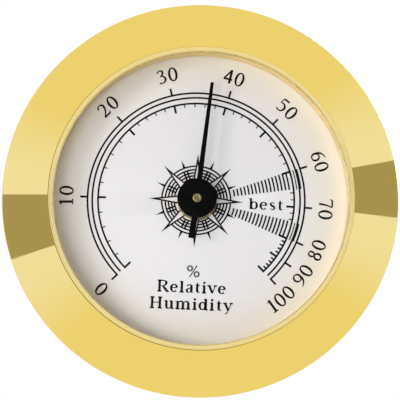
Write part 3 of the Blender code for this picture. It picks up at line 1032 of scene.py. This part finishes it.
def print_word(ink, text, middle, baseline, size, tracking, weight, stretch):
    """A straight line of lettering centred on `middle`."""
    widths = [ADVANCE[letter] * stretch + tracking for letter in text]
    x = middle - 0.5 * sum(widths) * size
    for letter, width in zip(text, widths):
        centre = (x + 0.5 * width * size, baseline + 0.5 * size)
        draw_glyph(ink, letter, centre, size, 0.0, weight, stretch)
        x += width * size


# Each caption: word, middle, baseline, cap height, tracking, weight and stretch.
CAPTIONS = (
    ("Relative", -0.15, -16.5, 2.0, 0.08, 1.45, 1.25),
    ("Humidity", -0.1, -19.5, 2.0, 0.11, 1.45, 1.27),
    ("best", 12.45, -1.15, 1.95, 0.1, 1.35, 1.3),
)
UNIT = ("%", 0.05, -13.8, 2.2, 0.0, 1.6, 1.2)


def print_captions(finish):
    """Generic wording only: what the gauge reads, and a word in the useful range."""
    ink = Print("caption_print")
    for caption in CAPTIONS:
        print_word(ink, *caption)
    ink.finish(finish["ink"])
    faint = Print("unit_print")
    print_word(faint, *UNIT)
    faint.finish(finish["grey"])


# ---- pointer and bearing

POINTER_ANGLE = 82.6
POINTER_LENGTH = 20.9 * MM
POINTER_TAIL = 7.2 * MM
POINTER_HUB = 3.5 * MM
POINTER_HOLE = 0.64 * MM
# Half widths of the blade at its tip and at the hub, and of the tail.
POINTER_HALVES = (0.29 * MM, 0.475 * MM, 0.55 * MM)
# The tail stands a hair off the blade's line, as in the photo.
TAIL_SKEW = 0.1 * MM
ARBOR_HOLE = 0.34 * MM
BUSH_SHANK = 0.58 * MM
BUSH_HEAD = 0.78 * MM
BOSS_HOLE = 0.68 * MM
BOSS_SHANK = 2.3 * MM
BOSS_FOOT = 3.55 * MM


def make_pointer(finish):
    """Thin stamped pointer: a blade that widens to its hub disc, and a straight tail."""
    tip, root, tail = POINTER_HALVES
    root_angle = math.degrees(math.asin(root / POINTER_HUB))
    tail_angle = math.degrees(math.asin(tail / POINTER_HUB))
    outline = [(POINTER_LENGTH, tip)]
    outline += arc(POINTER_HUB, root_angle, 180.0 - tail_angle, 40)
    outline += [(-POINTER_TAIL, tail + TAIL_SKEW), (-POINTER_TAIL, TAIL_SKEW - tail)]
    outline += arc(POINTER_HUB, 180.0 + tail_angle, 360.0 - root_angle, 40)
    outline.append((POINTER_LENGTH, -tip))
    placed = [turned(point, POINTER_ANGLE, MOVEMENT_AXIS) for point in outline]
    hole = circle(POINTER_HOLE, 32, MOVEMENT_AXIS)[::-1]
    front, rear = front_of("pointer"), rear_of("pointer")
    mesh = sheet_mesh("pointer_blade", [placed, hole], front, rear, bevel=0.04 * MM)
    add_piece("pointer_blade", mesh, "pointer_shaft", finish["enamel"], ["pointer"])


def make_bush(finish):
    """Domed brass bush riveted in the pointer's hub."""
    front, rear = front_of("pointer_bush"), rear_of("pointer_bush")
    hub = front_of("pointer") - FINE
    corners = [
        (ARBOR_HOLE, front + 0.03 * MM, 0.03 * MM),
        (0.60 * MM, front, 0.12 * MM),
        (BUSH_HEAD, front + 0.12 * MM, 0.08 * MM),
        (BUSH_HEAD, hub, FINE),
        (BUSH_SHANK, hub, FINE),
        (BUSH_SHANK, rear, FINE),
        (ARBOR_HOLE, rear, FINE),
    ]
    lathed(
        "hub_bush", rounded(corners, steps=4), "pointer_shaft", finish["aged"], "turned_brass",
        ["pointer_bush"], segments=SMALL_SEGMENTS, centre=MOVEMENT_AXIS,
    )


def make_front_bearing(finish):
    """Brass boss that stands on the dial and carries the arbor."""
    front, rear = front_of("front_bearing"), rear_of("front_bearing")
    dial_side = DIAL_FACE - 0.1 * MM
    corners = [
        (BOSS_HOLE, front, HAIR),
        (BOSS_FOOT - 0.25 * MM, front, 0.15 * MM),
        (BOSS_FOOT, dial_side, 0.06 * MM),
        (BOSS_SHANK, dial_side, FINE),
        (BOSS_SHANK, rear, EASED),
        (BOSS_HOLE, rear, HAIR),
    ]
    lathed(
        "bearing_boss", rounded(corners, steps=4), "case", finish["turned"], "turned_brass",
        ["front_bearing"], segments=SMALL_SEGMENTS, centre=MOVEMENT_AXIS,
    )


# ---- case and back

DRUM_WALL = 1.0 * MM
GRIP_GROOVE = (4.95 * MM, 8.45 * MM)
GROOVE_DEPTH = 0.45 * MM
SHELF = (2.45 * MM, 3.35 * MM)
SHELF_OPENING = 24.8 * MM
SHELF_STEP = (27.4 * MM, 0.3 * MM)
GRIP_RIBS = 3


def make_case(finish):
    """Pressed drum with a rolled rear edge, a groove for the grip ring and an inner shelf."""
    low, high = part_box("case_body")
    outer = radius_of("case_body")
    inner, valley = outer - DRUM_WALL, outer - GROOVE_DEPTH
    near, far = GRIP_GROOVE
    corners = [
        (inner, low.y, EASED),
        (outer, low.y, ROUNDED),
        (outer, near, ROUNDED),
        (valley, near + 0.3 * MM, EASED),
        (valley, far - 0.3 * MM, EASED),
        (outer, far, ROUNDED),
        (outer, high.y, 0.5 * MM),
        (inner, high.y, 0.4 * MM),
        (inner, SHELF[1], EASED),
        (SHELF_OPENING, SHELF[1], EASED),
        (SHELF_OPENING, SHELF[0], EASED),
        (SHELF_STEP[0], SHELF[0], EASED),
        (SHELF_STEP[0], SHELF_STEP[1], EASED),
        (inner, SHELF_STEP[1], EASED),
    ]
    lathed("drum", rounded(corners), "case", finish["pressed"], "case", ["case_body"])


def make_grip_ring(finish):
    """Ribbed rubber ring."""
    low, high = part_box("grip_ring")
    outer = radius_of("grip_ring")
    inner, valley = outer - 0.95 * MM, outer - 0.3 * MM
    pitch = (high.y - low.y) / GRIP_RIBS
    corners = [(inner, high.y - EASED, EASED), (inner, low.y + EASED, EASED)]
    for rib in range(GRIP_RIBS):
        start = low.y + pitch * rib
        corners.append((valley, start + FINE, 0.08 * MM))
        corners.append((outer, start + 0.5 * pitch, 0.16 * MM))
    corners.append((valley, high.y, 0.08 * MM))
    lathed("grip", rounded(corners, steps=4), "case", finish["rubber"], "rubber", ["grip_ring"])


BACK_FRONT = front_of("back_plate")
BACK_REAR = rear_of("back_plate")
ADJUSTER_HOLE = 3.3 * MM
VENT_COUNT = 12
VENT_REACH = (9.0 * MM, 20.0 * MM)
VENT_WIDTH = 2.2 * MM
MARK_REACH = 6.3 * MM
MARK_HALF_LENGTH = 0.8 * MM
MARK_HALF_WIDTH = 0.14 * MM
SCREW_SPREAD = 26.0 * MM
SCREW_HEAD = 1.8 * MM
SCREW_RIM = 0.3 * MM
SCREW_SHANK = 0.65 * MM
SLOT_HALF = 0.26 * MM
SLOT_REACH = 2.2 * MM
SLOT_DEPTH = 0.42 * MM
SCREEN_HUB = 4.9 * MM
SCREEN_PITCH = 1.0 * MM
SCREEN_WIRE = 0.085 * MM

# Angle round the back of each screw, and the angle its slot was left at.
SCREW_PLACES = ((30.0, 62.0), (150.0, 15.0), (270.0, 118.0))


def vent_outline(angle):
    """A slot with round ends, lying along a radius."""
    half = 0.5 * VENT_WIDTH
    inner, outer = (
        turned((reach, 0.0), angle) for reach in (VENT_REACH[0] + half, VENT_REACH[1] - half)
    )
    far = arc(half, angle - 90.0, angle + 90.0, 14, outer)
    return far + arc(half, angle + 90.0, angle + 270.0, 14, inner)


def make_back_plate(finish):
    """Vented plate with bevelled edges, and the marks for the direction of adjustment."""
    outlines = [circle(radius_of("back_plate"), 192)]
    outlines.append(circle(ADJUSTER_HOLE, 64, MOVEMENT_AXIS)[::-1])
    for index in range(VENT_COUNT):
        outlines.append(vent_outline(360.0 * (index + 0.5) / VENT_COUNT)[::-1])
    plate = sheet_mesh("back_cover", outlines, BACK_FRONT, BACK_REAR, bevel=0.12 * MM)
    add_piece("back_cover", plate, "case", finish["aluminium"], ["back_plate"])
    long, thin = MARK_HALF_LENGTH, MARK_HALF_WIDTH
    level = [(-long, -thin), (long, -thin), (long, thin), (-long, thin)]
    cross = [(-thin, -long), (thin, -long), (thin, -thin)]
    cross += [(long, -thin), (long, thin), (thin, thin)]
    cross += [(-x, -z) for x, z in cross]
    guide = arc(MARK_REACH, 60.0, 120.0, 24) + arc(MARK_REACH - 2.0 * thin, 120.0, 60.0, 24)
    more, less = (turned((MARK_REACH, 0.0), angle, MOVEMENT_AXIS) for angle in (48.0, 132.0))
    for name, outline, place in (
        ("mark_more", cross, more), ("mark_less", level, less), ("mark_guide", guide, MOVEMENT_AXIS)
    ):
        placed = [(place[0] + x, place[1] + z) for x, z in outline]
        mark = sheet_mesh(name, [placed], BACK_REAR - 0.01 * MM, BACK_REAR + FINE)
        add_piece(name, mark, "case", finish["ink"])


def make_back_screws(finish):
    """Domed slotted screws."""
    tip, top = front_of("back_screw_1"), rear_of("back_screw_1")
    seat = BACK_REAR + HAIR
    rim = seat + SCREW_RIM
    corners = [
        (0.0, tip, 0.0),
        (0.7 * SCREW_SHANK, tip, HAIR),
        (SCREW_SHANK, tip + 0.3 * MM, HAIR),
        (SCREW_SHANK, seat, 0.0),
        (SCREW_HEAD, seat, 0.08 * MM),
        (SCREW_HEAD, rim, 0.0),
    ]
    profile = rounded(corners, closed=False, steps=3)
    dome = arc(1.0, 0.0, 90.0, 10)[1:]
    profile += [(max(0.0, SCREW_HEAD * x), rim + (top - rim) * z) for x, z in dome]
    ends = [(-SLOT_REACH, -SLOT_HALF), (SLOT_REACH, -SLOT_HALF)]
    ends += [(-x, -z) for x, z in ends]
    for index, (angle, slot_angle) in enumerate(SCREW_PLACES, 1):
        place = turned((SCREW_SPREAD, 0.0), angle)
        blank = lathe_mesh("screw", profile, segments=64, centre=place, closed=False)
        groove = [turned(point, slot_angle, place) for point in ends]
        cutter = sheet_mesh("screw_slot", [groove], top - SLOT_DEPTH, top + 0.5 * MM)
        name = f"back_screw_head_{index}"
        mesh = cut(blank, cutter, name)
        add_piece(name, mesh, "case", finish["steel"], [f"back_screw_{index}"])


def make_vent_screen(finish):
    """Plain weave of thin wires between two flat rings."""
    low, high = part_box("vent_screen")
    outer, inner, pitch, wire = radius_of("vent_screen"), SCREEN_HUB, SCREEN_PITCH, SCREEN_WIRE
    middle = 0.5 * (low.y + high.y)
    sway = 0.5 * (high.y - low.y) - wire
    bm = bmesh.new()

    def weave(start, stop, offset, crossed, parity):
        loops = []
        for step in range(start, stop + 1):
            along = step * pitch
            depth = middle + (sway if (step + parity) % 2 else -sway)
            loop = []
            for across, out in ((wire, 0.0), (0.0, wire), (-wire, 0.0), (0.0, -wire)):
                flat = (offset + across, along) if crossed else (along, offset + across)
                x, z = turned(flat, 0.0, MOVEMENT_AXIS)
                loop.append(bm.verts.new((x, depth + out, z)))
            loops.append(loop)
        loft(bm, loops)

    reach = int(outer / pitch)
    gap_radius = inner + 0.4 * MM
    for crossed in (False, True):
        for line in range(-reach, reach + 1):
            offset = line * pitch
            if abs(offset) > outer - 0.6 * MM:
                continue
            end = int(math.sqrt((outer - 0.3 * MM) ** 2 - offset ** 2) / pitch)
            spans = [(-end, end)]
            if abs(offset) < gap_radius:
                gap = math.ceil(math.sqrt(gap_radius ** 2 - offset ** 2) / pitch)
                spans = [(gap, end), (-end, -gap)]
            for start, stop in spans:
                if stop > start:
                    weave(start, stop, offset, crossed, line + crossed)
    mesh = tidy_mesh("screen_wires", bm, 80.0)
    add_piece("screen_wires", mesh, "case", finish["gauze"], ["vent_screen"])
    rings = (("screen_rim", outer - 1.4 * MM, outer), ("screen_hub", inner, inner + 1.3 * MM))
    for name, near, far in rings:
        corners = [(near, low.y), (far, low.y), (far, high.y), (near, high.y)]
        profile = rounded([(*corner, HAIR) for corner in corners], steps=2)
        lathed(
            name, profile, "case", finish["steel"], "gauze",
            segments=SMALL_SEGMENTS, centre=MOVEMENT_AXIS,
        )


# The movement's own parts keep their CAD shapes and only take a finish.
MOVEMENT_FINISHES = {
    "turned": ("pillar_1", "pillar_2", "rear_bearing", "coil_collet", "adjuster"),
    "aged": ("arbor",),
    "strip": ("hygro_coil",),
    "steel": (
        "movement_plate", "rear_bridge", "adjuster_washer", "coil_stud",
        "plate_screw_1", "plate_screw_2", "bridge_screw_1", "bridge_screw_2",
    ),
}


def finish_movement(finish):
    """Give the movement's CAD nodes their finishes."""
    for key, nodes in MOVEMENT_FINISHES.items():
        for node in nodes:
            materials = frame["nodes"][node].data.materials
            materials.clear()
            materials.append(finish[key])


# ---- studio

CAMERA_DISTANCE = 0.6
CAMERA_ELEVATION = -8.2
CAMERA_LENS = 305.4
CAMERA_OFFSET = (-0.035 * MM, 0.08 * MM)
FLOOR_DROP = -0.28
FLOOR_REACH = 4.0


def make_camera():
    camera = linked("camera", bpy.data.cameras.new("camera"))
    lift = math.radians(CAMERA_ELEVATION)
    camera.location = (
        CAMERA_OFFSET[0],
        -CAMERA_DISTANCE * math.cos(lift),
        CAMERA_DISTANCE * math.sin(lift) + CAMERA_OFFSET[1],
    )
    camera.rotation_euler = (math.radians(90.0 - CAMERA_ELEVATION), 0.0, 0.0)
    camera.data.lens = CAMERA_LENS
    camera.data.sensor_width = 36.0
    camera.data.clip_start = 0.01
    bpy.context.scene.camera = camera


def make_floor():
    mesh = bpy.data.meshes.new("floor")
    corners = [(-1, -1), (1, -1), (1, 1), (-1, 1)]
    mesh.from_pydata([(FLOOR_REACH * x, FLOOR_REACH * y, 0.0) for x, y in corners], [], [range(4)])
    floor = linked("floor", mesh)
    floor.location.z = FLOOR_DROP
    floor.visible_glossy = False
    shades = (0.95, 0.95, 0.945), (0.97, 0.97, 0.965)
    mesh.materials.append(clouded("floor_paper", shades, (30.0, 3.0), (0.8, 0.8)))


def mirrored(angle, radius=31.0 * MM):
    """Where in the studio the flange's face at an angle on it shows to the camera."""
    turn = math.radians(angle)
    slope = math.atan((FLANGE_CREST - FLANGE_EDGE) / (FLANGE_RADIUS - FLANGE_BORE))
    spot = Vector((radius * math.cos(turn), -2.0 * MM, radius * math.sin(turn)))
    sight = (spot - bpy.context.scene.camera.location).normalized()
    across = math.sin(slope)
    normal = Vector((across * math.cos(turn), -math.cos(slope), across * math.sin(turn)))
    return sight.reflect(normal)


# Each side of the studio has a cool glow with a dark flag in it, given by the angles on the
# flange between which the flag shows, anticlockwise from +X.
SIDE_FLAGS = ((-5.75, 11.2), (178.4, 197.7))
GLOW_COLOUR = (1.045, 1.145, 1.98)
FLAG_COLOUR = (0.45, 0.45, 0.48)
FRONT_COLOUR = (1.1, 1.2, 1.7)
CAMERA_COLOUR = (0.02, 0.02, 0.02)
WHITE = (1.0, 1.0, 1.0)
FLAG_BLUR = 0.001
SKY_ON_MATT = 0.62


def make_world():
    """White studio sky with cool glows, a dark flag to each side and a dark camera."""
    world = bpy.data.worlds.new("studio")
    bpy.context.scene.world = world
    world.use_nodes = True
    sky = Nodes(world.node_tree)
    sky.tree.nodes.clear()
    way = sky.node("TexCoord").outputs["Generated"]

    def reach_along(direction, start, stop):
        """0 where the way reaches less than `start` along a direction, 1 past `stop`."""
        aim = sky.node("VectorMath", {"operation": "DOT_PRODUCT"})
        sky.put(aim.inputs[0], way)
        sky.put(aim.inputs[1], direction.normalized())
        smooth = {"interpolation_type": "SMOOTHSTEP"}
        return sky.spread(aim.outputs["Value"], 0.0, 1.0, start, stop, **smooth)

    def nearness(direction, reach, core):
        """0 further than `reach` degrees from a direction, 1 within `core` degrees of it."""
        return reach_along(direction, math.cos(math.radians(reach)), math.cos(math.radians(core)))

    sight = -bpy.context.scene.camera.location.normalized()
    camera_image = sight.reflect(Vector((0.0, 1.0, 0.0)))
    colour = sky.mix_colour(nearness(camera_image, 19.0, 8.0), WHITE, FRONT_COLOUR)
    colour = sky.mix_colour(nearness(camera_image, 3.4, 2.7), colour, CAMERA_COLOUR)
    for angles in SIDE_FLAGS:
        middle = mirrored(0.5 * sum(angles))
        colour = sky.mix_colour(nearness(middle, 22.0, 4.0), colour, GLOW_COLOUR)
        flag = nearness(middle, 21.0, 20.0)
        for angle in angles:
            # A plane through the gauge's axis keeps the edge straight along a radius.
            side = Vector((0.0, 1.0, 0.0)).cross(mirrored(angle))
            if side.dot(middle) < 0.0:
                side.negate()
            flag = sky.math("MULTIPLY", flag, reach_along(side, -FLAG_BLUR, FLAG_BLUR))
        colour = sky.mix_colour(flag, colour, FLAG_COLOUR)
    rays = sky.node("LightPath").outputs
    backdrop = sky.mix_colour(rays["Is Camera Ray"], colour, WHITE)
    dimmed = sky.math("MULTIPLY", rays["Is Diffuse Ray"], 1.0 - SKY_ON_MATT)
    strength = sky.math("SUBTRACT", 1.0, dimmed)
    background = sky.node("Background", Color=backdrop, Strength=strength)
    sky.node("OutputWorld", Surface=background.outputs[0])


# Each key: name, degrees off the dial's axis, place round it anticlockwise, diameter and power.
KEYS = (
    ("key", 25.0, 207.0, 0.3, 1.35),
    ("side_key", 50.0, 177.0, 0.26, 1.95),
    ("wall_glow", 60.0, 168.0, 0.3, 4.2),
)
GLOW_LIGHT = (0.8, 1.0, 3.0)
KEY_DISTANCE = 0.65
KEY_COLOUR = (1.0, 0.985, 0.97)


def make_light(name, place, size, energy, colour=WHITE):
    """A round soft light aimed at the object."""
    light = bpy.data.lights.new(name, "AREA")
    light.shape = "DISK"
    light.size = size
    light.energy = energy
    light.color = colour
    lamp = linked(name, light)
    lamp.location = place
    lamp.rotation_euler = (-Vector(place)).to_track_quat("-Z", "Y").to_euler()
    lamp.visible_camera = False
    return lamp


def link_light(lamp, pieces, state):
    """Keep a light to some pieces ("INCLUDE") or off them ("EXCLUDE")."""
    group = bpy.data.collections.new(lamp.name + "_pieces")
    for piece in pieces:
        group.objects.link(piece)
    for member in group.collection_objects:
        member.light_linking.link_state = state
    lamp.light_linking.receiver_collection = group


def make_lights(mirrors, wall):
    """Soft keys from the left, a glow off the gilt wall, and lights above and behind."""
    for name, degrees, turn, size, energy in KEYS:
        aside, around = math.radians(degrees), math.radians(turn)
        direction = Vector((
            math.sin(aside) * math.cos(around),
            -math.cos(aside),
            math.sin(aside) * math.sin(around),
        ))
        glow = name == "wall_glow"
        colour = GLOW_LIGHT if glow else KEY_COLOUR
        lamp = make_light(name, KEY_DISTANCE * direction, size, energy, colour)
        link_light(lamp, [wall] if glow else mirrors, "INCLUDE" if glow else "EXCLUDE")
    above = make_light("above", (0.0, 0.1, 0.9), size=0.8, energy=4.4)
    above.visible_glossy = False
    make_light("behind", (0.35, 0.7, 0.3), size=0.4, energy=4.0)


def main():
    bpy.context.scene.view_settings.view_transform = "Standard"
    make_camera()
    finish = make_finishes()
    mirrors = [make_flange(finish), make_bezel(finish)]
    make_lens(finish)
    make_seal(finish)
    wall = make_reflector(finish)
    make_dial(finish)
    print_scale(finish)
    print_zones(finish)
    print_rose(finish)
    print_numerals(finish)
    print_captions(finish)
    make_pointer(finish)
    make_bush(finish)
    make_front_bearing(finish)
    make_case(finish)
    make_grip_ring(finish)
    make_back_plate(finish)
    make_back_screws(finish)
    make_vent_screen(finish)
    finish_movement(finish)
    make_floor()
    make_world()
    make_lights(mirrors, wall)


main()
